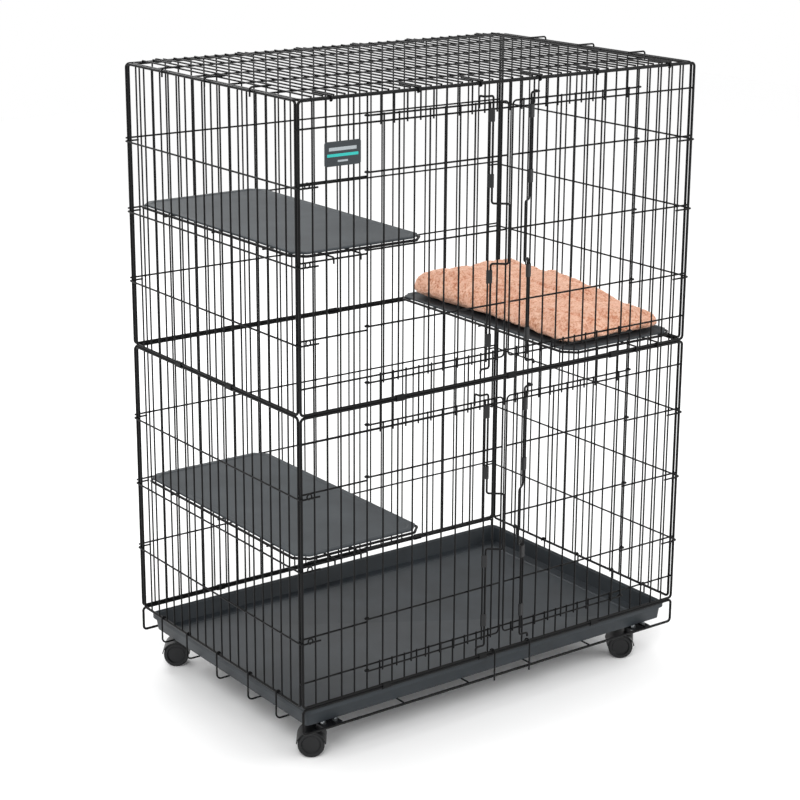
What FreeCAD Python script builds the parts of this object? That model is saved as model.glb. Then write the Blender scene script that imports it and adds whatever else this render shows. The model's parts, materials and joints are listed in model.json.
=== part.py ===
import FreeCAD, Part
import math
import os

V = FreeCAD.Vector

# ---- overall layout (mm, +Z up, floor at z = 0) ----
LENGTH_OUT = 910.8          # over the end hook wires, along X
DEPTH_FRAMES = 585.0        # between front and back frame wires, along Y
PANEL_HEIGHT = 542.0        # one storey, frame wire to frame wire
PANEL_BOTTOM = 126.0        # bottom frame wire of the lower storey
SEAM_PITCH = 5.2            # between the two frame wires that meet at mid height
BASE_Z = 74.0               # lowest wire of the base loops

# ---- wire sizes (radii) ----
FRAME_R = 2.5               # perimeter wires
CROSS_R = 1.7               # horizontal wires
BAR_R = 1.6                 # vertical wires
LATCH_R = 2.0               # sliding latch rods
SEAM_CLIP_T = 1.2           # strip of the clips that join two frame wires
SEAM_CLIP_LENGTH = 18.0
WELD = 0.15                 # how far crossed wires sink into each other

# ---- front panel ----
FRONT_BAYS = 32
SIDE_BAYS = 5               # bays between the corner and the door jamb
FRAME_BEND = 7.0
CROSS_LEVELS = (46.0, 131.0, 267.0, 402.0, 494.0)
NUB = 3.0

# ---- end and back panels ----
END_BAYS = 19
END_LEVELS = (131.0, 267.0, 402.0)
CORNER_GAP = 8.6            # end frame wire behind the front frame wire
END_LIFT = -6.0             # end cross wires pass just below the front ones
FRONT_STUB = 36.0           # they turn the corner and run on this far
BACK_STUB = 24.0
EYE_R = 4.8                 # ring beside each front corner
EYE_WIRE_R = 1.4
HOOK_TURN = 200.0

# ---- doors ----
DOOR_TOP_LAP = 13.0
DOOR_BOTTOM_LAP = 9.0
DOOR_LEVEL_LIFT = 8.0       # door cross wires sit just above the panel's
STILE_OFFSET = 5.0          # stile centreline from the meeting line
STILE_BEND = 8.0
DOOR_BARS = (27.0, 49.0, 82.0, 115.0, 148.0, 181.0, 214.0, 247.0, 279.0)
CURL_GAP = 0.4

# ---- latches ----
ROD_OFFSET = 43.3           # rod centreline from the meeting line
ROD_N = 7.2                 # rod centreline outside the frame plane
HOOK_REACH = 15.4           # latch hooks reach back past the panel's cross wires
HOOK_SIDE = 19.7            # and step sideways, away from the meeting line
HOOK_RISE = 12.5            # above the door's top wire
ROD_BEND = 4.5
HANDLE_IN = 25.0            # how far the handle jogs toward the meeting line
HANDLE_OUT = 20.0           # and away from the door
HANDLE_HALF = 55.0
CLIP_HEIGHT = 24.0
CLIP_CENTRES = (37.0, 156.0, 331.0, 449.0)

# ---- top panel and base ----
TOP_BAYS = 39
TOP_CROSS = (-190.0, -60.0, 60.0, 190.0)
TOP_HOOKS = (-391.0, -208.0, -70.0, 70.0, 208.0, 391.0)
TOP_END_HOOKS = (-150.0, 0.0, 150.0)
FLOOR_X_WIRES = (-209.0, -112.0, 0.0, 112.0, 209.0)
FLOOR_Y_WIRES = (-380.0, -228.0, -76.0, 76.0, 228.0, 380.0)
BASE_RINGS = (-267.0, -42.0, 239.0)
SEAM_RINGS_X = (-239.0, 15.0, 267.0)
SEAM_RINGS_Y = (-60.0, 120.0)

# ---- pan ----
PAN_HALF_X = 442.0
PAN_FRONT = 287.0
PAN_BACK = 278.0
PAN_WALL = 2.2
PAN_RIM = 7.0
PAN_HEIGHT = 34.4
PAN_SLOPE = 5.0
PAN_CORNER = 13.0
PAN_STOP_X = (-16.0, 70.0)

# ---- shelves ----
SHELF_LENGTH = 274.0
SHELF_HALF_DEPTH = 276.0
SHELF_EDGE = 444.0          # outer edge of each shelf from the middle
SHELF_CHAMFER = 22.0
BOARD_T = 4.0
FRONT_HOOK_X = (323.0, 379.3)
BACK_HOOK_X = (239.0, 379.3)

# ---- cushion ----
CUSHION_X = 268.0
CUSHION_Y = 536.0
CUSHION_H = 84.0

# ---- label plate ----
LABEL_W = 74.0
LABEL_H = 42.0
LABEL_T = 1.2

# ---- casters ----
WHEEL_R = 25.0
WHEEL_W = 15.0
CASTER_X = 380.0            # swivel axis
CASTER_Y = 246.0
CASTER_TRAIL = 18.0
CASTER_TURN = -36.0         # how the four casters stand
PLATE_X = 44.0
PLATE_Y = 84.0
BOLT_X = 12.5
BOLT_Y = 26.0
PLATE_T = 2.5
STEM_R = 4.0
AXLE_R = 3.0
WEB_HALF = 5.0
HOOD_HALF = 24.0
HOOD_R = 28.0

# ---- derived ----
CROSS_N = FRAME_R + CROSS_R - WELD                  # cross wires outside the frame
BAR_N = CROSS_N - CROSS_R - BAR_R + WELD            # bars just inside the cross wires
HOOK_C = FRAME_R + CROSS_R                          # hook centreline radius on a frame wire
SIDE_REACH = HOOK_C + CROSS_R                       # a hook wire stands out this far
XE = LENGTH_OUT / 2 - SIDE_REACH                    # end frame wires
YF = DEPTH_FRAMES / 2                               # front and back frame wires
FRONT_PITCH = 2 * XE / FRONT_BAYS
JAMB = XE - SIDE_BAYS * FRONT_PITCH
CURL_C = BAR_R + CURL_GAP + CROSS_R                 # curl centreline radius round a jamb
DOOR_N = CURL_C - BAR_N                             # door cross wires
DOOR_BAR_N = DOOR_N + CROSS_R + BAR_R - WELD        # door bars
HANDLE_N = ROD_N + HANDLE_OUT
FRONT_REACH = HANDLE_N + LATCH_R
BACK_REACH = 7.5
Y_MID = (FRONT_REACH - BACK_REACH) / 2              # keeps the whole object centred on y = 0
END_HALF = YF - CORNER_GAP
LOWER = PANEL_BOTTOM
UPPER = PANEL_BOTTOM + PANEL_HEIGHT + SEAM_PITCH
TOP_Z = UPPER + PANEL_HEIGHT
FLOOR_Y_Z = BASE_Z + CROSS_N
FLOOR_X_Z = FLOOR_Y_Z - CROSS_R - BAR_R + WELD
PAN_Z = FLOOR_Y_Z + BAR_R + 0.1
PLATE_TOP = FLOOR_X_Z - CROSS_R + 0.05


# ---- the four sides: u runs along the side, n points outward, w is height ----
def front(u, n, w):
    return V(u, Y_MID - YF - n, w)


def back(u, n, w):
    return V(u, Y_MID + YF + n, w)


def left(u, n, w):
    return V(-XE - n, Y_MID + u, w)


def right(u, n, w):
    return V(XE + n, Y_MID + u, w)


# ---- wires ----
def rod(p, q, r):
    d = q.sub(p)
    return Part.makeCylinder(r, d.Length, p, d)


def bend(centre, start, axis, r, turn):
    tangent = axis.cross(start.sub(centre))
    face = Part.Face(Part.Wire(Part.makeCircle(r, start, tangent)))
    return face.revolve(centre, axis, turn)


def bent_wire(points, radius, r):
    """A wire through the points, each inner corner bent to the radius."""
    pieces = []
    here = points[0]
    for a, b, c in zip(points, points[1:], points[2:]):
        into = b.sub(a).normalize()
        out = c.sub(b).normalize()
        turn = into.getAngle(out)
        cut = radius * math.tan(turn / 2)
        start = b.sub(V(into).multiply(cut))
        axis = into.cross(out).normalize()
        centre = start.add(axis.cross(into).multiply(radius))
        if start.sub(here).Length > 0.01:
            pieces.append(rod(here, start, r))
        pieces.append(bend(centre, start, axis, r, math.degrees(turn)))
        here = b.add(V(out).multiply(cut))
    if points[-1].sub(here).Length > 0.01:
        pieces.append(rod(here, points[-1], r))
    return pieces


def loop(corners, radius, r):
    """A closed frame wire with bent corners."""
    mid = corners[0].add(corners[1]).multiply(0.5)
    return bent_wire([mid] + corners[1:] + [corners[0], mid], radius, r)


def group(shapes):
    return Part.makeCompound(shapes)


def cut_all(shape, tools):
    for tool in tools:
        shape = shape.cut(tool)
    return shape.Solids[0] if len(shape.Solids) == 1 else shape


def save(name, shape):
    shape.exportStep("parts/%s.step" % name)


def block(x0, x1, y0, y1, z0, z1):
    return Part.makeBox(x1 - x0, y1 - y0, z1 - z0, V(x0, y0, z0))


def spread(half, bays):
    step = 2 * half / bays
    return [-half + step * i for i in range(1, bays)]


def frame_loop(side, half, z0, z1):
    corners = [side(-half, 0, z0), side(half, 0, z0), side(half, 0, z1), side(-half, 0, z1)]
    return loop(corners, FRAME_BEND, FRAME_R)


def bar(side, u, z0, z1, n=BAR_N):
    """An upright between two frame wires."""
    return rod(side(u, n, z0 + FRAME_R - 0.1), side(u, n, z1 - FRAME_R + 0.1), BAR_R)


# ---- panels ----
def front_panel(z0):
    """Cross wires run inside the bars here, so the doors can lap the opening."""
    z1 = z0 + PANEL_HEIGHT
    levels = [z0 + h for h in CROSS_LEVELS]
    wires = frame_loop(front, XE, z0, z1)
    low = levels[0] + CROSS_R + NUB
    high = levels[-1] - CROSS_R - NUB
    for i in range(1, FRONT_BAYS):
        u = -XE + FRONT_PITCH * i
        if SIDE_BAYS < i < FRONT_BAYS - SIDE_BAYS:
            wires.append(rod(front(u, -BAR_N, z0 + FRAME_R - 0.1), front(u, -BAR_N, low), BAR_R))
            wires.append(rod(front(u, -BAR_N, high), front(u, -BAR_N, z1 - FRAME_R + 0.1), BAR_R))
        else:
            wires.append(bar(front, u, z0, z1, -BAR_N))
    for z in (levels[0], levels[-1]):
        wires.append(rod(front(-XE - NUB, -CROSS_N, z), front(XE + NUB, -CROSS_N, z), CROSS_R))
    for z in levels[1:-1]:
        for s in (-1, 1):
            outer = front(s * (XE + NUB), -CROSS_N, z)
            wires.append(rod(outer, front(s * (JAMB - NUB), -CROSS_N, z), CROSS_R))
    return group(wires)


def back_panel(z0):
    z1 = z0 + PANEL_HEIGHT
    wires = frame_loop(back, XE, z0, z1)
    for u in spread(XE, FRONT_BAYS):
        wires.append(bar(back, u, z0, z1))
    for h in END_LEVELS:
        wires.append(rod(back(-XE - NUB, CROSS_N, z0 + h), back(XE + NUB, CROSS_N, z0 + h), CROSS_R))
    return group(wires)


def end_panel(side, z0):
    z1 = z0 + PANEL_HEIGHT
    wires = frame_loop(side, END_HALF, z0, z1)
    for u in spread(END_HALF, END_BAYS):
        wires.append(bar(side, u, z0, z1))
    for h in END_LEVELS:
        z = z0 + h + END_LIFT
        wires.append(rod(side(-YF, HOOK_C, z), side(YF, HOOK_C, z), CROSS_R))
        for s in (-1, 1):
            centre = side(s * YF, 0, z)
            start = side(s * YF, HOOK_C, z)
            toward = side(s * (YF + 1), 0, z).sub(centre)
            axis = start.sub(centre).normalize().cross(toward)
            wires.append(bend(centre, start, axis, CROSS_R, 90.0))
            stub = FRONT_STUB if s < 0 else BACK_STUB
            wires.append(rod(side(s * (YF + HOOK_C), 0, z), side(s * (YF + HOOK_C), -stub, z), CROSS_R))
        face = -YF - HOOK_C - CROSS_R - EYE_WIRE_R + 0.05
        eye = side(face, -12.0, z + EYE_R)
        foot = side(face, -12.0, z)
        wires.append(bend(eye, foot, V(0, 1, 0), EYE_WIRE_R, 330.0))
    return group(wires)


def top_panel():
    half_x = XE - CORNER_GAP
    half_y = END_HALF

    def at(x, y, up):
        return V(x, Y_MID + y, TOP_Z + up)

    corners = [at(-half_x, -half_y, 0), at(half_x, -half_y, 0), at(half_x, half_y, 0), at(-half_x, half_y, 0)]
    wires = loop(corners, FRAME_BEND, FRAME_R)
    for x in spread(half_x, TOP_BAYS):
        wires.append(rod(at(x, -half_y - NUB / 2, CROSS_N), at(x, half_y + NUB / 2, CROSS_N), BAR_R))
    for y in TOP_CROSS:
        edge = half_x - FRAME_R + 0.1
        wires.append(rod(at(-edge, y, BAR_N - 0.05), at(edge, y, BAR_N - 0.05), CROSS_R))
    step = 2 * half_x / TOP_BAYS
    for x in TOP_HOOKS:
        x = step * round(x / step)
        for s in (-1, 1):
            tail = at(x, s * (half_y - 46), HOOK_C)
            wires.append(rod(tail, at(x, s * YF, HOOK_C), CROSS_R))
            wires.append(bend(at(x, s * YF, 0), at(x, s * YF, HOOK_C), V(s * -1.0, 0, 0), CROSS_R, HOOK_TURN))
    for y in TOP_END_HOOKS:
        for s in (-1, 1):
            high = HOOK_C + 2 * BAR_R - 0.2
            tail = at(s * (half_x - 30), y, high)
            down = at(s * (XE + HOOK_C), y, high)
            end = at(s * (XE + HOOK_C), y, -9.0)
            wires += bent_wire([tail, down, end], 5.0, CROSS_R)
    return group(wires)


# ---- base ----
def base_loop(side):
    top = PANEL_BOTTOM - SEAM_PITCH
    corners = [side(-XE, 0, BASE_Z), side(XE, 0, BASE_Z), side(XE, 0, top), side(-XE, 0, top)]
    return group(loop(corners, FRAME_BEND, FRAME_R))


def floor_grid():
    wires = []
    for x in FLOOR_Y_WIRES:
        wires.append(rod(front(x, 3.0, FLOOR_Y_Z), back(x, 3.0, FLOOR_Y_Z), BAR_R))
    out = XE + HOOK_C
    for y in FLOOR_X_WIRES:
        points = [V(-out, Y_MID + y, PANEL_BOTTOM), V(-out, Y_MID + y, FLOOR_X_Z)]
        points += [V(out, Y_MID + y, FLOOR_X_Z), V(out, Y_MID + y, PANEL_BOTTOM)]
        wires += bent_wire(points, 10.0, CROSS_R)
        for s in (-1, 1):
            centre = V(s * XE, Y_MID + y, PANEL_BOTTOM)
            start = V(s * out, Y_MID + y, PANEL_BOTTOM)
            wires.append(bend(centre, start, V(0, -s, 0), CROSS_R, HOOK_TURN))
    return group(wires)


def capsule(side, u, z, r, half):
    """A bar along a side whose section wraps two frame wires, one above the other."""
    start = side(u - half, 0, z)
    run = side(u + half, 0, z).sub(start)
    rise = V(0, 0, SEAM_PITCH / 2)
    body = Part.makeCylinder(r, 2 * half, start.add(rise), run)
    body = body.fuse(Part.makeCylinder(r, 2 * half, start.sub(rise), run))
    corners = []
    for n, k in ((-r, -1), (r, -1), (r, 1), (-r, 1)):
        corners.append(side(u - half, n, z + k * SEAM_PITCH / 2))
    return body.fuse(Part.Face(Part.makePolygon(corners + corners[:1])).extrude(run))


def seam_clip(side, u, z):
    """A strip bent round two frame wires, open on the inside."""
    half = SEAM_CLIP_LENGTH / 2
    body = capsule(side, u, z, FRAME_R + 0.05 + SEAM_CLIP_T, half)
    body = body.cut(capsule(side, u, z, FRAME_R + 0.05, half + 1))
    deep = FRAME_R + SEAM_CLIP_T + 1
    slot = []
    for n, w in ((-deep, -1.5), (-1.0, -1.5), (-1.0, 1.5), (-deep, 1.5)):
        slot.append(side(u - half - 1, n, z + w))
    run = side(u + half + 1, 0, z).sub(side(u - half - 1, 0, z))
    body = body.cut(Part.Face(Part.makePolygon(slot + slot[:1])).extrude(run))
    return body.removeSplitter().Solids[0]


def seam_rings():
    z = LOWER + PANEL_HEIGHT + SEAM_PITCH / 2
    clips = []
    for x in SEAM_RINGS_X:
        clips.append(seam_clip(front, x, z))
        clips.append(seam_clip(back, x, z))
    for y in SEAM_RINGS_Y:
        clips.append(seam_clip(left, y, z))
        clips.append(seam_clip(right, y, z))
    return group(clips)


def base_rings():
    z = PANEL_BOTTOM - SEAM_PITCH / 2
    clips = []
    for x in BASE_RINGS:
        clips.append(seam_clip(front, x, z))
        clips.append(seam_clip(back, x, z))
    return group(clips)


# ---- doors and latches (hand = -1 for the left door, +1 for the right) ----
def door_heights(z0):
    z_low = z0 + CROSS_LEVELS[0] - DOOR_BOTTOM_LAP
    z_high = z0 + CROSS_LEVELS[-1] + DOOR_TOP_LAP
    return z_low, z_high


def door(z0, hand):
    z_low, z_high = door_heights(z0)
    stile = hand * STILE_OFFSET
    jamb = hand * JAMB
    path = [front(jamb, DOOR_N, z_high), front(stile, DOOR_N, z_high)]
    path += [front(stile, DOOR_N, z_low), front(jamb, DOOR_N, z_low)]
    wires = bent_wire(path, STILE_BEND, CROSS_R)
    levels = [z0 + h + DOOR_LEVEL_LIFT for h in CROSS_LEVELS[1:-1]]
    for z in levels:
        end = hand * (STILE_OFFSET + CROSS_R - 0.1)
        wires.append(rod(front(jamb, DOOR_N, z), front(end, DOOR_N, z), CROSS_R))
    for z in [z_low, z_high] + levels:
        axis = V(0, 0, hand)
        wires.append(bend(front(jamb, -BAR_N, z), front(jamb, DOOR_N, z), axis, CROSS_R, 265.0))
    for u in DOOR_BARS:
        low = front(hand * u, DOOR_BAR_N, z_low - NUB)
        high = front(hand * u, DOOR_BAR_N, z_high + NUB)
        wires.append(rod(low, high, BAR_R))
    return group(wires)


def latch_rod(z0, hand):
    z_low, z_high = door_heights(z0)
    u = hand * ROD_OFFSET
    inner = hand * (ROD_OFFSET - HANDLE_IN)
    mid = (z_low + z_high) / 2
    top = z_high + HOOK_RISE
    bottom = z_low - 15.0
    aside = hand * (ROD_OFFSET + HOOK_SIDE)
    tip = ROD_N - HOOK_REACH
    path = [front(aside, tip, z0 + CROSS_LEVELS[-1] + CROSS_R + 1.0), front(aside, tip, top)]
    path += [front(aside, ROD_N, top), front(u, ROD_N, top)]
    path += [front(u, ROD_N, mid + HANDLE_HALF), front(inner, HANDLE_N, mid + HANDLE_HALF)]
    path += [front(inner, HANDLE_N, mid - HANDLE_HALF), front(u, ROD_N, mid - HANDLE_HALF)]
    path += [front(u, ROD_N, bottom), front(aside, ROD_N, bottom), front(aside, ROD_N, bottom - 8.0)]
    return group(bent_wire(path, ROD_BEND, LATCH_R))


def latch_clips(z0, hand):
    z_low = door_heights(z0)[0]
    bar_u = hand * DOOR_BARS[1]
    rod_u = hand * ROD_OFFSET
    clips = []
    for h in CLIP_CENTRES:
        z = z_low + h - CLIP_HEIGHT / 2
        a = front(bar_u, DOOR_BAR_N, z)
        b = front(rod_u, ROD_N, z)
        up = V(0, 0, CLIP_HEIGHT)
        outer = BAR_R + 1.1
        wide = LATCH_R + 1.3
        body = Part.makeCylinder(outer, CLIP_HEIGHT, a)
        body = body.fuse(Part.makeCylinder(wide, CLIP_HEIGHT, b))
        run = b.sub(a)
        side = V(0, 0, 1).cross(run).normalize()
        slab = []
        for p, k in ((a, outer), (b, wide), (b, -wide), (a, -outer)):
            slab.append(p.add(V(side).multiply(k * 0.92)))
        bridge = Part.Face(Part.makePolygon(slab + [slab[0]])).extrude(up)
        body = body.fuse(bridge)
        body = body.cut(Part.makeCylinder(BAR_R, CLIP_HEIGHT, a))
        body = body.cut(Part.makeCylinder(LATCH_R + 0.3, CLIP_HEIGHT, b))
        clips.append(body.removeSplitter().Solids[0])
    return group(clips)


# ---- pan and its stops ----
def pan_section(inset, low):
    """Closed outline of the pan wall at one height."""
    x = PAN_HALF_X - inset
    y0 = Y_MID - PAN_FRONT + inset
    y1 = Y_MID + PAN_BACK - inset
    r = PAN_CORNER
    box = block(-x, x, y0, y1, low, low + 1)
    uprights = [e for e in box.Edges if abs(e.tangentAt(e.FirstParameter).z) > 0.99]
    solid = box.makeFillet(r, uprights)
    bottom = [f for f in solid.Faces if abs(f.CenterOfMass.z - low) < 1e-6][0]
    return bottom.OuterWire


def pan():
    z0 = PAN_Z
    z1 = PAN_Z + PAN_HEIGHT
    slope = PAN_SLOPE
    outer = Part.makeLoft([pan_section(PAN_RIM + slope, z0), pan_section(PAN_RIM, z1)], True)
    inner = Part.makeLoft([pan_section(PAN_RIM + slope + PAN_WALL, z0 + PAN_WALL),
                           pan_section(PAN_RIM + PAN_WALL, z1)], True)
    rim = Part.Face(pan_section(0, z1 - PAN_WALL)).extrude(V(0, 0, PAN_WALL))
    rim = rim.cut(Part.Face(pan_section(PAN_RIM + PAN_WALL, z1 - PAN_WALL)).extrude(V(0, 0, PAN_WALL)))
    skirt = Part.Face(pan_section(0, z1 - 8.0)).extrude(V(0, 0, 8.0))
    skirt = skirt.cut(Part.Face(pan_section(PAN_WALL, z1 - 8.0)).extrude(V(0, 0, 8.0)))
    body = outer.fuse(rim).fuse(skirt).cut(inner)
    return body.removeSplitter().Solids[0]


def pan_stop(x):
    """A drop wire that hangs in front of the pan from the two wires above it."""
    z = PANEL_BOTTOM - SEAM_PITCH / 2
    centre = front(x, 0, z)
    hang = SEAM_PITCH / 2 + FRAME_R + 0.3 + BAR_R
    start = front(x, hang, z)
    hook = bend(centre, start, V(-1, 0, 0), BAR_R, 215.0)
    return group([hook, rod(start, front(x, hang, BASE_Z - 6.0), BAR_R)])


# ---- shelves ----
def shelf_outline(s, grow, z):
    x1 = s * (SHELF_EDGE + grow)
    x0 = s * (SHELF_EDGE - SHELF_LENGTH - grow)
    y = SHELF_HALF_DEPTH + grow
    c = SHELF_CHAMFER
    points = [(x0, -y + c), (x0 + s * c, -y), (x1 - s * c, -y), (x1, -y + c)]
    points += [(x1, y - c), (x1 - s * c, y), (x0 + s * c, y), (x0, y - c)]
    return [V(px, Y_MID + py, z) for px, py in points]


def shelf_frame(s, z, over_front, over_back):
    """Frame wire, three bearers and four hooks; z is the frame wire."""
    corners = shelf_outline(s, 0, z)
    wires = loop(corners, 6.0, FRAME_R)
    x_mid = s * (SHELF_EDGE - SHELF_LENGTH / 2)
    low = z - FRAME_R - CROSS_R + WELD
    for y in (-170.0, 0.0, 170.0):
        edge = SHELF_LENGTH / 2 + 1.0
        wires.append(rod(V(x_mid - edge, Y_MID + y, low), V(x_mid + edge, Y_MID + y, low), CROSS_R))
    for side, over, places in ((front, over_front, FRONT_HOOK_X), (back, over_back, BACK_HOOK_X)):
        for x in places:
            n = over + 2 * CROSS_R + 0.4
            tail = side(s * x, SHELF_HALF_DEPTH - YF - 34.0, low)
            knee = side(s * x, n, low)
            tip = side(s * x, n, low - 11.0)
            wires += bent_wire([tail, knee, tip], 3.2, CROSS_R)
    return group(wires)


def shelf_board(s, z):
    z0 = z + FRAME_R
    face = Part.Face(Part.makePolygon(shelf_outline(s, -1.5, z0) + [shelf_outline(s, -1.5, z0)[0]]))
    board = face.extrude(V(0, 0, BOARD_T))
    inner = Part.Face(Part.makePolygon(shelf_outline(s, -14, z0) + [shelf_outline(s, -14, z0)[0]]))
    return board.cut(inner.extrude(V(0, 0, BOARD_T)).translated(V(0, 0, BOARD_T - 1.2)))


def cushion(s, z):
    x = s * (SHELF_EDGE - SHELF_LENGTH / 2)
    body = block(x - CUSHION_X / 2, x + CUSHION_X / 2, Y_MID - CUSHION_Y / 2, Y_MID + CUSHION_Y / 2,
                 z, z + CUSHION_H)
    uprights = [e for e in body.Edges if abs(e.tangentAt(e.FirstParameter).z) > 0.99]
    body = body.makeFillet(48.0, uprights)
    return body.makeFillet(32.0, [e for e in body.Edges if abs(e.tangentAt(e.FirstParameter).z) < 0.5])


# ---- label plate ----
def label_plate():
    z = UPPER + CROSS_LEVELS[3] + 25.0
    u = -XE + 2.5 * FRONT_PITCH + 18.0
    plate = block(u - LABEL_W / 2, u + LABEL_W / 2, 0, LABEL_T, z, z + LABEL_H)
    edges = [e for e in plate.Edges if abs(e.tangentAt(e.FirstParameter).y) > 0.99]
    plate = plate.makeFillet(4.0, edges)
    return plate.translated(V(0, Y_MID - YF + BAR_N - BAR_R - LABEL_T + 0.05, 0))


# ---- casters ----
def caster_parts(sx, sy):
    cx = sx * CASTER_X
    cy = Y_MID + sy * CASTER_Y
    plate_low = PLATE_TOP - PLATE_T
    plate = Part.makeBox(PLATE_X, PLATE_Y, PLATE_T, V(cx - PLATE_X / 2, cy - PLATE_Y / 2, plate_low))
    plate = plate.makeFillet(6.0, [e for e in plate.Edges if abs(e.tangentAt(e.FirstParameter).z) > 0.99])
    holes = []
    for dx in (-BOLT_X, BOLT_X):
        for dy in (-BOLT_Y, BOLT_Y):
            holes.append(Part.makeCylinder(3.2, PLATE_T + 2, V(cx + dx, cy + dy, plate_low - 1)))
    plate = cut_all(plate, holes)
    stem = Part.makeCylinder(STEM_R, 40.0 + WELD, V(cx, cy, plate_low - 40.0))
    bracket = group([plate, stem])

    ax = cx - CASTER_TRAIL
    span = 2 * HOOD_HALF
    y0 = cy - HOOD_HALF
    across = V(0, 1, 0)
    shell = Part.makeCylinder(HOOD_R, span, V(ax, y0, WHEEL_R), across)
    web = Part.makeCylinder(WHEEL_R - 4.0, 2 * WEB_HALF, V(ax, cy - WEB_HALF, WHEEL_R), across)
    reach = HOOD_HALF - WEB_HALF + 1
    pockets = []
    for y in (cy - HOOD_HALF - 1, cy + WEB_HALF):
        pockets.append(Part.makeCylinder(WHEEL_R + 1.0, reach, V(ax, y, WHEEL_R), across))
    keep = block(ax - 40, ax + 40, y0 - 1, y0 + span + 1, WHEEL_R + 4.0, WHEEL_R + 60)
    hood = cut_all(shell.common(keep).fuse(web), pockets)
    boss_low = WHEEL_R + 4.0
    boss = Part.makeCylinder(9.5, plate_low - 0.4 - boss_low, V(cx, cy, boss_low))
    hood = hood.fuse(cut_all(boss, pockets))
    hood = hood.cut(Part.makeCylinder(STEM_R + 0.08, 41.0, V(cx, cy, plate_low - 40.6)))
    axle_from = V(ax, cy - WEB_HALF - 2, WHEEL_R)
    hood = hood.cut(Part.makeCylinder(AXLE_R + 0.08, 2 * WEB_HALF + 4, axle_from, across))
    hood = hood.removeSplitter()

    depth = WHEEL_W - 4.0
    reach = WEB_HALF + 0.5 + depth
    axle = Part.makeCylinder(AXLE_R, 2 * reach, V(ax, cy - reach, WHEEL_R), across)
    wheels = []
    for s in (-1, 1):
        inner = cy + s * (WEB_HALF + 0.5)
        wheel = Part.makeCylinder(WHEEL_R, WHEEL_W, V(ax, inner, WHEEL_R), V(0, s, 0))
        rims = [e for e in wheel.Edges if len(e.Vertexes) == 1 and e.Curve.TypeId == "Part::GeomCircle"]
        wheel = wheel.makeFillet(2.5, rims)
        dish = Part.makeCone(16.0, 18.5, 3.0, V(ax, inner + s * (WHEEL_W - 3.0), WHEEL_R), V(0, s, 0))
        bore = Part.makeCylinder(AXLE_R, depth, V(ax, inner, WHEEL_R), V(0, s, 0))
        wheels.append(wheel.cut(dish).cut(bore).removeSplitter().Solids[0])
    turned = []
    for piece in (hood.Solids[0], axle, group(wheels)):
        turned.append(piece.rotated(V(cx, cy, 0), V(0, 0, 1), CASTER_TURN))
    return [bracket] + turned


def caster_bolts():
    """Four bolts with nuts to each caster plate."""
    bolts = []
    plate_low = PLATE_TOP - PLATE_T
    for sx in (-1, 1):
        for sy in (-1, 1):
            for dx in (-BOLT_X, BOLT_X):
                for dy in (-BOLT_Y, BOLT_Y):
                    x = sx * CASTER_X + dx
                    y = Y_MID + sy * CASTER_Y + dy
                    shank = Part.makeCylinder(3.0, 9.0, V(x, y, plate_low))
                    head = hexagon(x, y, plate_low - 3.6, 3.6)
                    nut = hexagon(x, y, PLATE_TOP, 4.0)
                    bolts.append(head.fuse(shank).fuse(nut).removeSplitter().Solids[0])
    return group(bolts)


def hexagon(x, y, z, height):
    points = []
    for k in range(7):
        a = math.radians(60 * k)
        points.append(V(x + 5.6 * math.cos(a), y + 5.6 * math.sin(a), z))
    return Part.Face(Part.makePolygon(points)).extrude(V(0, 0, height))


# ---- build ----
os.makedirs("parts", exist_ok=True)

for storey, z0 in (("lower", LOWER), ("upper", UPPER)):
    save("front_panel_" + storey, front_panel(z0))
    save("back_panel_" + storey, back_panel(z0))
    save("left_end_" + storey, end_panel(left, z0))
    save("right_end_" + storey, end_panel(right, z0))
    for hand, name in ((-1, "left"), (1, "right")):
        save("door_%s_%s" % (storey, name), door(z0, hand))
        save("latch_rod_%s_%s" % (storey, name), latch_rod(z0, hand))
        save("latch_clips_%s_%s" % (storey, name), latch_clips(z0, hand))

save("top_panel", top_panel())
save("base_loop_front", base_loop(front))
save("base_loop_back", base_loop(back))
save("floor_grid", floor_grid())
save("seam_rings", seam_rings())
save("base_rings", base_rings())
save("pan", pan())
for k, x in enumerate(PAN_STOP_X):
    save("pan_stop_%d" % (k + 1), pan_stop(x))

HALF_RISE = FRAME_R - WELD + 2 * CROSS_R
shelf_low = LOWER + CROSS_LEVELS[2] + CROSS_R + HALF_RISE + 0.1
shelf_high = UPPER + CROSS_LEVELS[2] + CROSS_R + HALF_RISE + 0.1
shelf_mid = UPPER + FRAME_R + HALF_RISE + 0.1
for name, s, z, over_front, over_back in (
        ("lower_left", -1, shelf_low, -CROSS_N, CROSS_N),
        ("upper_left", -1, shelf_high, -CROSS_N, CROSS_N),
        ("middle_right", 1, shelf_mid, FRAME_R - CROSS_R, FRAME_R - CROSS_R)):
    save("shelf_frame_" + name, shelf_frame(s, z, over_front, over_back))
    save("shelf_board_" + name, shelf_board(s, z))
save("cushion", cushion(1, shelf_mid + FRAME_R + BOARD_T + 0.3))
save("label_plate", label_plate())

for sx, side_name in ((-1, "left"), (1, "right")):
    for sy, end_name in ((-1, "front"), (1, "back")):
        bracket, hood, axle, wheels = caster_parts(sx, sy)
        tag = "%s_%s" % (end_name, side_name)
        save("caster_bracket_" + tag, bracket)
        save("caster_hood_" + tag, hood)
        save("caster_axle_" + tag, axle)
        save("caster_wheels_" + tag, wheels)
save("caster_bolts", caster_bolts())
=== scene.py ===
import math
import json

import bmesh
import bpy
from mathutils import Matrix, Vector, noise


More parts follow.
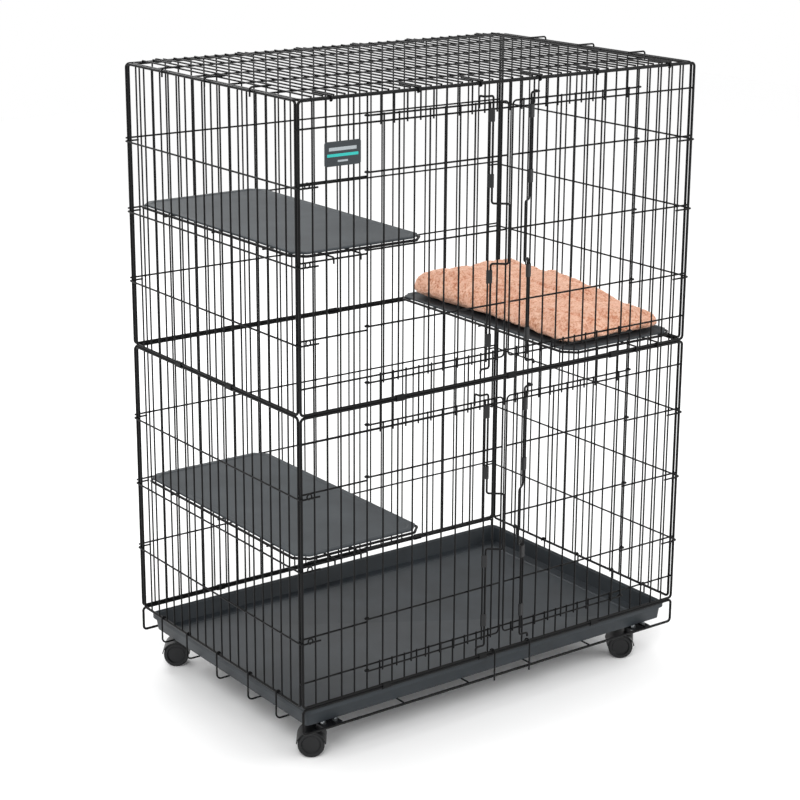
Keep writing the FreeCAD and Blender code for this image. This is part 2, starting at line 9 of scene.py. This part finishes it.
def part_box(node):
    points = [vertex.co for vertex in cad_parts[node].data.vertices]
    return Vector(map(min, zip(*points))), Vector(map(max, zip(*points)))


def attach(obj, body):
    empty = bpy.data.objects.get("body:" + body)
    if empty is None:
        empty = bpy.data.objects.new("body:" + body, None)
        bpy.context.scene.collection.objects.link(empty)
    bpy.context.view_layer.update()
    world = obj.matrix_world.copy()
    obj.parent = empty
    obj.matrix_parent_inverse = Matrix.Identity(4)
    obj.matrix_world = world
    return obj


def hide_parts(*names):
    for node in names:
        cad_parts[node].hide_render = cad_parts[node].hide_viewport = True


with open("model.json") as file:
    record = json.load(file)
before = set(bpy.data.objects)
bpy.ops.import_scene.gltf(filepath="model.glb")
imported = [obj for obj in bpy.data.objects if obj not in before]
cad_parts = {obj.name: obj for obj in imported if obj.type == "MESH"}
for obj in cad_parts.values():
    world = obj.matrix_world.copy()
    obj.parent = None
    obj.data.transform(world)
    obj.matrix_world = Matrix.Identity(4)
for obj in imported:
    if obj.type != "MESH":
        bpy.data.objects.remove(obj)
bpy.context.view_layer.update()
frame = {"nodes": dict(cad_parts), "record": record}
nodes = frame["nodes"]
mm = 0.001


# ---------- materials ----------
def linear(code):
    """An sRGB hex colour as the linear values that shaders use."""
    out = []
    for i in (0, 2, 4):
        c = int(code[i:i + 2], 16) / 255
        out.append(c / 12.92 if c <= 0.04045 else ((c + 0.055) / 1.055) ** 2.4)
    return (out[0], out[1], out[2], 1.0)


def add(tree, kind, settings=None, links=None):
    """Adds one node: settings on the node or its inputs, links from other nodes' outputs."""
    node = tree.nodes.new(kind)
    for key, value in (settings or {}).items():
        if isinstance(key, str) and hasattr(node, key):
            setattr(node, key, value)
        else:
            node.inputs[key].default_value = value
    for key, (source, output) in (links or {}).items():
        tree.links.new(source.outputs[output], node.inputs[key])
    return node


def start(name):
    """A material with its shader and the place coordinates in metres."""
    mat = bpy.data.materials.new(name)
    mat.use_nodes = True
    tree = mat.node_tree
    shader = tree.nodes["Principled BSDF"]
    place = add(tree, "ShaderNodeTexCoord")
    return mat, tree, shader, place


def ramp(tree, source, output, stops):
    """A colour ramp of (position, hex colour) stops, read from a texture."""
    node = add(tree, "ShaderNodeValToRGB", links={"Fac": (source, output)})
    band = node.color_ramp
    while len(band.elements) < len(stops):
        band.elements.new(0.5)
    for spot, (position, code) in zip(band.elements, stops):
        spot.position = position
        spot.color = linear(code)
    return node


def wire_up(tree, shader, tone, gloss, bump):
    """Joins colour, roughness and surface relief to the shader."""
    tree.links.new(tone.outputs["Color"], shader.inputs["Base Color"])
    tree.links.new(gloss.outputs["Result"], shader.inputs["Roughness"])
    tree.links.new(bump.outputs["Normal"], shader.inputs["Normal"])


def coated_steel(name, dark, light, rough):
    """Electrocoated steel: near black, half gloss, with a faint orange peel that breaks the highlight."""
    mat, tree, shader, place = start(name)
    at = {"Vector": (place, "Object")}
    peel = add(tree, "ShaderNodeTexNoise", {"Scale": 1 / (1.4 * mm), "Detail": 3.0}, at)
    patch = add(tree, "ShaderNodeTexNoise", {"Scale": 1 / (60 * mm), "Detail": 2.0}, at)
    tone = ramp(tree, patch, "Fac", [(0.35, dark), (0.7, light)])
    gloss = add(tree, "ShaderNodeMapRange", {"To Min": rough - 0.07, "To Max": rough + 0.1},
                {"Value": (patch, "Fac")})
    bump = add(tree, "ShaderNodeBump", {"Strength": 0.12, "Distance": 0.1 * mm}, {"Height": (peel, "Fac")})
    wire_up(tree, shader, tone, gloss, bump)
    shader.inputs["IOR"].default_value = 1.5
    shader.inputs["Specular IOR Level"].default_value = 0.16
    return mat


def moulded(name, dark, light, rough, grain_mm, depth_mm):
    """Moulded plastic: a leather grain from the tool, a little cloudy in colour, broad soft highlights."""
    mat, tree, shader, place = start(name)
    at = {"Vector": (place, "Object")}
    grain = add(tree, "ShaderNodeTexVoronoi", {"feature": "SMOOTH_F1", "Scale": 1 / (grain_mm * mm)}, at)
    fine = add(tree, "ShaderNodeTexNoise", {"Scale": 2.5 / (grain_mm * mm), "Detail": 2.0}, at)
    cloud = add(tree, "ShaderNodeTexNoise", {"Scale": 1 / (90 * mm), "Detail": 3.0}, at)
    tone = ramp(tree, cloud, "Fac", [(0.3, dark), (0.75, light)])
    gloss = add(tree, "ShaderNodeMapRange", {"To Min": rough - 0.06, "To Max": rough + 0.1},
                {"Value": (fine, "Fac")})
    bump = add(tree, "ShaderNodeBump", {"Strength": 0.35, "Distance": depth_mm * mm},
               {"Height": (grain, "Distance")})
    over = add(tree, "ShaderNodeBump", {"Strength": 0.15, "Distance": depth_mm * mm},
               {"Height": (fine, "Fac"), "Normal": (bump, "Normal")})
    wire_up(tree, shader, tone, gloss, over)
    shader.inputs["IOR"].default_value = 1.49
    shader.inputs["Specular IOR Level"].default_value = 0.35
    return mat


def zinc_plate(name):
    """Zinc plated steel: a dull blue-grey metal with fine drawn marks."""
    mat, tree, shader, place = start(name)
    at = {"Vector": (place, "Object")}
    marks = add(tree, "ShaderNodeTexNoise", {"Scale": 1 / (0.8 * mm), "Detail": 4.0}, at)
    tone = ramp(tree, marks, "Fac", [(0.3, "8f9396"), (0.75, "c3c7c9")])
    gloss = add(tree, "ShaderNodeMapRange", {"To Min": 0.28, "To Max": 0.48}, {"Value": (marks, "Fac")})
    bump = add(tree, "ShaderNodeBump", {"Strength": 0.2, "Distance": 0.05 * mm}, {"Height": (marks, "Fac")})
    wire_up(tree, shader, tone, gloss, bump)
    shader.inputs["Metallic"].default_value = 1.0
    return mat


def plush(name):
    """Polyester plush, cut pile about 5 mm: painted shade in the low hollows between tufts, paler painted
    light where the pile stands high, painted light streaks, a soft bloom at the edges.
    """
    mat, tree, shader, place = start(name)
    at = {"Vector": (place, "Object")}
    # painted light and shade: broad streaky patches, lighter and darker at random, stand in for the light
    # streaks and soft shade on the pile
    lay = add(tree, "ShaderNodeTexNoise", {"Scale": 1 / (26 * mm), "Detail": 4.0, "Distortion": 1.4}, at)
    tuft = add(tree, "ShaderNodeTexNoise", {"Scale": 1 / (3.2 * mm), "Detail": 5.0, "Roughness": 0.7}, at)
    # painted shade: the pile height and the tuft relief become colour, dark where the pile sinks between
    # tufts and pale where it stands high, as shade and light among the fibres would fall
    depth = add(tree, "ShaderNodeAttribute", {"attribute_name": "pile"})
    shade = add(tree, "ShaderNodeMath", {"operation": "MULTIPLY_ADD", 1: 0.55},
                {0: (depth, "Fac"), 2: (tuft, "Fac")})
    pile_painted_shade_ramp = ramp(tree, shade, "Value", [(0.38, "934724"), (0.6, "ca9070"), (0.86, "f0cdb8")])
    painted_streak_ramp = ramp(tree, lay, "Fac", [(0.35, "e1b199"), (0.7, "fbe8dc")])
    tone = add(tree, "ShaderNodeMix", {"data_type": "RGBA", "blend_type": "MULTIPLY", "Factor": 0.55})
    tree.links.new(pile_painted_shade_ramp.outputs["Color"], tone.inputs[6])
    tree.links.new(painted_streak_ramp.outputs["Color"], tone.inputs[7])
    bump = add(tree, "ShaderNodeBump", {"Strength": 0.8, "Distance": 1.2 * mm}, {"Height": (tuft, "Fac")})
    tree.links.new(tone.outputs[2], shader.inputs["Base Color"])
    tree.links.new(bump.outputs["Normal"], shader.inputs["Normal"])
    shader.inputs["Roughness"].default_value = 0.95
    shader.inputs["Sheen Weight"].default_value = 0.6
    shader.inputs["Sheen Roughness"].default_value = 0.45
    shader.inputs["Sheen Tint"].default_value = linear("ffd8c0")
    return mat


wire_mat = coated_steel("black e-coated steel wire", "030304", "090a0b", 0.46)
plate_mat = coated_steel("black painted steel plate", "111214", "1c1d20", 0.5)
nylon_mat = moulded("black moulded nylon", "0e0f10", "17181a", 0.45, 0.7, 0.05)
pan_mat = moulded("dark grey ABS pan", "1f2428", "2b3136", 0.5, 1.3, 0.09)
board_mat = moulded("grey polypropylene board", "2f3438", "3d4347", 0.62, 1.6, 0.1)
zinc_mat = zinc_plate("zinc plated steel")
plush_mat = plush("peach polyester plush")
card_mat = moulded("dark printed PVC plate", "23282c", "2c3236", 0.35, 0.9, 0.02)
teal_mat = moulded("teal printed ink", "1f9a94", "27aaa3", 0.4, 0.9, 0.02)
grey_mat = moulded("grey printed ink", "8b9296", "9aa0a4", 0.45, 0.9, 0.02)

finishes = {"coated_wire": wire_mat, "black_steel": plate_mat, "black_nylon": nylon_mat,
            "pan_plastic": pan_mat, "shelf_plastic": board_mat, "plated_steel": zinc_mat,
            "plush": plush_mat, "label": card_mat}
for part in frame["record"]["subparts"]:
    obj = nodes[part["node"]]
    for slot in obj.material_slots:
        slot.material = finishes[part["material_slot"]]


# ---------- small modelling helpers ----------
def settle(obj, name, mat, body, replaces=()):
    """Names a finished piece, puts its place in its mesh and joins it to its body."""
    bpy.ops.object.select_all(action="DESELECT")
    obj.select_set(True)
    bpy.context.view_layer.objects.active = obj
    bpy.ops.object.transform_apply(location=True, rotation=True, scale=True)
    obj.name = name
    obj.data.materials.clear()
    obj.data.materials.append(mat)
    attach(obj, body)
    if replaces:
        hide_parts(*replaces)


def fresh_box(low, high):
    """A block between two corners, left selected and active."""
    bpy.ops.object.select_all(action="DESELECT")
    mid = (Vector(low) + Vector(high)) / 2
    size = Vector(high) - Vector(low)
    bpy.ops.mesh.primitive_cube_add(size=1, location=mid)
    obj = bpy.context.active_object
    obj.scale = size
    bpy.ops.object.transform_apply(location=True, rotation=True, scale=True)
    return obj


def soften(obj, width_mm, segments, degrees=None):
    """Rounds the edges sharper than an angle, or every edge when no angle is given."""
    bevel = obj.modifiers.new("edge", "BEVEL")
    bevel.width = width_mm * mm
    bevel.segments = segments
    if degrees:
        bevel.limit_method = "ANGLE"
        bevel.angle_limit = math.radians(degrees)


def smooth_skin(obj):
    """One level of subdivision, made real at once."""
    fine = obj.modifiers.new("smooth", "SUBSURF")
    fine.levels = fine.render_levels = 1
    apply_all(obj)


def apply_all(obj):
    """Makes every modifier on a piece real."""
    bpy.ops.object.select_all(action="DESELECT")
    obj.select_set(True)
    bpy.context.view_layer.objects.active = obj
    for modifier in list(obj.modifiers):
        bpy.ops.object.modifier_apply(modifier=modifier.name)


def pick(obj, test, kind="face"):
    """Selects the faces or edges that pass a test, and nothing else."""
    bpy.ops.mesh.select_mode(type=kind.upper())
    bpy.ops.mesh.select_all(action="DESELECT")
    mesh = bmesh.from_edit_mesh(obj.data)
    for item in (mesh.faces if kind == "face" else mesh.edges):
        if test(item):
            item.select_set(True)
    mesh.select_flush_mode()
    bmesh.update_edit_mesh(obj.data)


def upright(edge):
    """Whether an edge runs straight up."""
    a, b = edge.verts
    return abs(a.co.z - b.co.z) > 1 * mm and (a.co - b.co).xy.length < 1 * mm


# ---------- shelf boards ----------
def shelf_board(tag):
    """A board with clipped corners, a raised rim and softened edges."""
    node = "shelf_board_" + tag
    low, high = [Vector(v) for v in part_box(node)]
    lip = Vector((1.5, 1.5, 0)) * mm
    obj = fresh_box(low + lip, high - lip)
    bpy.ops.object.mode_set(mode="EDIT")
    pick(obj, upright, "edge")
    bpy.ops.mesh.bevel(offset=21 * mm, segments=1, affect="EDGES")
    pick(obj, lambda face: face.normal.z > 0.9)
    bpy.ops.mesh.inset(thickness=10 * mm)
    bpy.ops.mesh.inset(thickness=3 * mm, depth=-1.3 * mm)
    bpy.ops.object.mode_set(mode="OBJECT")
    soften(obj, 0.7, 3, 15)
    apply_all(obj)
    bpy.ops.object.shade_smooth_by_angle(angle=math.radians(35))
    settle(obj, "board_" + tag, board_mat, "shelf_" + tag, [node])


for tag in ("lower_left", "upper_left", "middle_right"):
    shelf_board(tag)


# ---------- pan ----------
def pan():
    """A tray: rolled skirt, flat rim, a step, steep walls and a floor with a shallow bead round it."""
    low, high = [Vector(v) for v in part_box("pan")]
    wall = 2.2 * mm
    step = 2.6 * mm
    skirt = 8 * mm
    obj = fresh_box((low.x, low.y, high.z - skirt), high)
    bpy.ops.object.mode_set(mode="EDIT")
    pick(obj, upright, "edge")
    bpy.ops.mesh.bevel(offset=16 * mm, segments=6, affect="EDGES")
    pick(obj, lambda face: face.normal.z < -0.9)
    bpy.ops.mesh.delete(type="FACE")
    pick(obj, lambda face: face.normal.z > 0.9)
    bpy.ops.mesh.inset(thickness=3.2 * mm)
    bpy.ops.mesh.inset(thickness=1.0 * mm, depth=-step)
    bpy.ops.mesh.inset(thickness=2.4 * mm)
    drop = high.z - step - (low.z + 2.4 * mm)
    bpy.ops.mesh.inset(thickness=4.6 * mm, depth=-drop)
    wide, deep = (high - low).xy
    middle = ((low.x + high.x) / 2, (low.y + high.y) / 2, low.z)
    for margin, rise in ((44, 0.0), (5, 1.2), (5, 0.0), (5, -1.2)):
        bpy.ops.mesh.extrude_region_move(TRANSFORM_OT_translate={"value": (0, 0, rise * mm)})
        shrink = (1 - margin * mm / wide, 1 - margin * mm / deep, 1)
        bpy.ops.transform.resize(value=shrink, center_override=middle)
    bpy.ops.object.mode_set(mode="OBJECT")
    thick = obj.modifiers.new("wall", "SOLIDIFY")
    thick.thickness = wall
    thick.offset = -1.0
    soften(obj, 0.8, 3, 22)
    apply_all(obj)
    bpy.ops.object.shade_smooth_by_angle(angle=math.radians(40))
    settle(obj, "pan_tray", pan_mat, "pan", ["pan"])


pan()


# ---------- label plate ----------
def label():
    """A small plate with rounded corners, a sunk face and three plain printed bars."""
    low, high = [Vector(v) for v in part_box("label_plate")]
    sunk = 0.25 * mm
    plate = fresh_box(low, high)
    bpy.ops.object.mode_set(mode="EDIT")
    pick(plate, lambda edge: abs(edge.verts[0].co.y - edge.verts[1].co.y) > 0.5 * mm, "edge")
    bpy.ops.mesh.bevel(offset=4 * mm, segments=6, affect="EDGES")
    pick(plate, lambda face: face.normal.y < -0.9)
    bpy.ops.mesh.inset(thickness=1.2 * mm)
    bpy.ops.mesh.inset(thickness=0.4 * mm, depth=-sunk)
    bpy.ops.object.mode_set(mode="OBJECT")
    settle(plate, "label_card", card_mat, "cage", ["label_plate"])
    face_y = low.y + sunk
    wide = high.x - low.x
    tall = high.z - low.z
    bars = (("label_teal_bar", 0.07, 0.93, 0.38, 0.5, teal_mat),
            ("label_grey_rule_a", 0.12, 0.88, 0.62, 0.76, grey_mat),
            ("label_grey_rule_b", 0.36, 0.64, 0.16, 0.24, grey_mat))
    for name, u0, u1, v0, v1, mat in bars:
        a = (low.x + u0 * wide, face_y - 0.2 * mm, low.z + v0 * tall)
        b = (low.x + u1 * wide, face_y + 0.1 * mm, low.z + v1 * tall)
        strip = fresh_box(a, b)
        soften(strip, 0.12, 2)
        apply_all(strip)
        settle(strip, name, mat, "cage")


label()


# ---------- cushion ----------
def fullness(u, w):
    """How tall the filling stands at a place on the bed: a big lobe at the back, a waist, a lower lobe."""
    lobe = 1 / (1 + math.exp(-(u + 0.34 + 0.16 * w) / 0.1))
    crown = 0.05 * math.exp(-((u - 0.45) / 0.4) ** 2)
    waist = 0.07 * math.exp(-((u + 0.45 + 0.16 * w) / 0.08) ** 2)
    ends = 0.5 * max(0.0, abs(u) - 0.78)
    return 0.62 + 0.18 * lobe + crown - waist - ends


def swell(obj):
    """Blows the bag up a little as cloth, with the move of each place held to a few millimetres."""
    most = 14 * mm
    rest = [v.co.copy() for v in obj.data.vertices]
    cloth = obj.modifiers.new("fill", "CLOTH")
    cloth.settings.quality = 5
    cloth.settings.mass = 0.2
    cloth.settings.tension_stiffness = 12
    cloth.settings.compression_stiffness = 12
    cloth.settings.use_pressure = True
    cloth.settings.uniform_pressure_force = 4
    cloth.settings.effector_weights.gravity = 0
    cloth.point_cache.frame_end = 22
    for step in range(1, 21):
        bpy.context.scene.frame_set(step)
    shape = obj.evaluated_get(bpy.context.evaluated_depsgraph_get()).data
    swollen = [v.co.copy() for v in shape.vertices]
    obj.modifiers.remove(cloth)
    bpy.context.scene.frame_set(1)
    for v, a, b in zip(obj.data.vertices, rest, swollen):
        move = b - a
        if move.length > most:
            move = move.normalized() * most
        v.co = a + move


def cushion():
    """A soft plush bed: a filled bag with two lobes, a waist and creases. Gives it and its foot height."""
    low, high = [Vector(v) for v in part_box("cushion")]
    mid = (low + high) / 2
    half = (high - low) / 2
    obj = fresh_box(low + Vector((4, 4, 2)) * mm, high - Vector((4, 4, 20)) * mm)
    bpy.ops.object.mode_set(mode="EDIT")
    pick(obj, upright, "edge")
    bpy.ops.mesh.bevel(offset=46 * mm, segments=8, affect="EDGES")
    bpy.ops.object.mode_set(mode="OBJECT")
    soften(obj, 24, 6, 50)
    remesh = obj.modifiers.new("even", "REMESH")
    remesh.mode = "VOXEL"
    remesh.voxel_size = 5.5 * mm
    apply_all(obj)
    swell(obj)
    base = low.z + 0.3 * mm
    tall = high.z - 4 * mm - base
    top = max(v.co.z for v in obj.data.vertices)
    bottom = min(v.co.z for v in obj.data.vertices)
    for v in obj.data.vertices:
        u = (v.co.y - mid.y) / half.y
        w = (v.co.x - mid.x) / half.x
        t = (v.co.z - bottom) / (top - bottom)
        edge = max(abs(u), abs(w))
        dome = 1 - 0.22 * max(0.0, edge - 0.35) ** 2 / 0.42
        rise = fullness(u, w) * dome * tall
        lump = noise.noise(v.co * 11.0 + Vector((3.1, 0, 0))) * 9 * mm
        lump = lump + noise.noise(v.co * 26.0) * 5 * mm
        fold = abs(noise.noise(Vector((v.co.x * 13, v.co.y * 7, v.co.z * 9)) + Vector((0, 5.2, 0))))
        crease = -9 * mm * math.exp(-(fold / 0.08) ** 2)
        z = base + t * rise + (lump + crease) * t
        waist = math.exp(-((u + 0.1 + 0.16 * w) / 0.1) ** 2)
        spread = 1 + 0.07 * (1 - t) - 0.04 * waist
        v.co.x = mid.x + (v.co.x - mid.x) * spread
        v.co.y = mid.y + (v.co.y - mid.y) * (1 + 0.04 * (1 - t))
        v.co.x += noise.noise(v.co * 12.0 + Vector((9, 0, 0))) * 4 * mm * t
        v.co.y += noise.noise(v.co * 12.0 + Vector((0, 9, 0))) * 4 * mm * t
        v.co.z = max(z, base)
    for v in obj.data.vertices:
        v.co.x = min(max(v.co.x, low.x - 3 * mm), high.x + 2 * mm)
        v.co.y = min(max(v.co.y, low.y - 5 * mm), high.y + 5 * mm)
        v.co.z = min(v.co.z, high.z - 3 * mm)
    smooth_skin(obj)
    return obj, base


def grow_pile(obj, base):
    """Raises the cut pile: clumps a few millimetres across that lie over each other."""
    smooth_skin(obj)
    # the pile height is kept as an attribute; the plush shader paints shade in the low hollows from it
    pile = obj.data.attributes.new("pile", "FLOAT", "POINT")
    depths = []
    shifts = []
    for v in obj.data.vertices:
        p = v.co
        lie = Vector((noise.noise(p * 22.0), noise.noise(p * 22.0 + Vector((7, 7, 7))), 0.0))
        q = p + lie * 5 * mm
        tuft = noise.fractal(q * 230.0, 0.6, 2.1, 3)
        wave = noise.noise(q * 60.0)
        depth = max(0.0, min(1.0, 0.5 + 0.42 * tuft + 0.25 * wave))
        depths.append(depth)
        free = max(0.0, min(1.0, (p.z - base) / (6 * mm)))
        shifts.append(v.normal * (depth - 0.35) * 3.2 * mm * free)
    for v, shift in zip(obj.data.vertices, shifts):
        v.co += shift
    pile.data.foreach_set("value", depths)


bed, bed_floor = cushion()
grow_pile(bed, bed_floor)
bpy.ops.object.shade_smooth()
settle(bed, "plush_cushion", plush_mat, "cushion", ["cushion"])


# ---------- stage ----------
def studio_floor():
    """A wide pale floor, a hair below the wheels."""
    bpy.ops.object.select_all(action="DESELECT")
    bpy.ops.mesh.primitive_plane_add(size=14, location=(0, 0, -0.3 * mm))
    obj = bpy.context.active_object
    obj.name = "studio_floor"
    mat, _, shader, _ = start("pale studio floor")
    shader.inputs["Base Color"].default_value = linear("fdfdfd")
    shader.inputs["Roughness"].default_value = 0.9
    obj.data.materials.append(mat)


studio_floor()
world = bpy.data.worlds.new("studio")
bpy.context.scene.world = world
world.use_nodes = True
world.node_tree.nodes["Background"].inputs["Color"].default_value = (1, 1, 1, 1)
world.node_tree.nodes["Background"].inputs["Strength"].default_value = 1.0
bpy.context.scene.view_settings.view_transform = "Standard"


def soft_light(name, place, aim, size, power):
    """A round area light turned toward a place."""
    data = bpy.data.lights.new(name, "AREA")
    data.shape = "DISK"
    data.size = size
    data.energy = power
    obj = bpy.data.objects.new(name, data)
    obj.location = place
    obj.rotation_euler = (Vector(aim) - Vector(place)).to_track_quat("-Z", "Y").to_euler()
    bpy.context.collection.objects.link(obj)


soft_light("key", (-2.6, -2.8, 3.4), (0, 0, 0.6), 1.8, 90)
soft_light("fill", (3.0, -2.4, 1.8), (0, 0, 0.6), 2.2, 35)
soft_light("rim", (0.5, 3.2, 2.8), (0, 0, 0.7), 2.0, 50)

# the camera stands left of the doors, above the cage, and looks down on it
EYE_PLACE = (-2.2461, -3.0281, 1.694)
EYE_YAW = -36.16
EYE_PITCH = 90 - 15.664
EYE_ROLL = 0.295
eye = bpy.data.cameras.new("camera")
eye.lens = 90.02
eye.sensor_width = 36.0
eye.shift_y = -0.05
camera = bpy.data.objects.new("camera", eye)
bpy.context.collection.objects.link(camera)
turn = Matrix.Rotation(math.radians(EYE_YAW), 4, "Z")
turn = turn @ Matrix.Rotation(math.radians(EYE_PITCH), 4, "X")
turn = turn @ Matrix.Rotation(math.radians(EYE_ROLL), 4, "Z")
camera.matrix_world = Matrix.Translation(EYE_PLACE) @ turn
bpy.context.scene.camera = camera
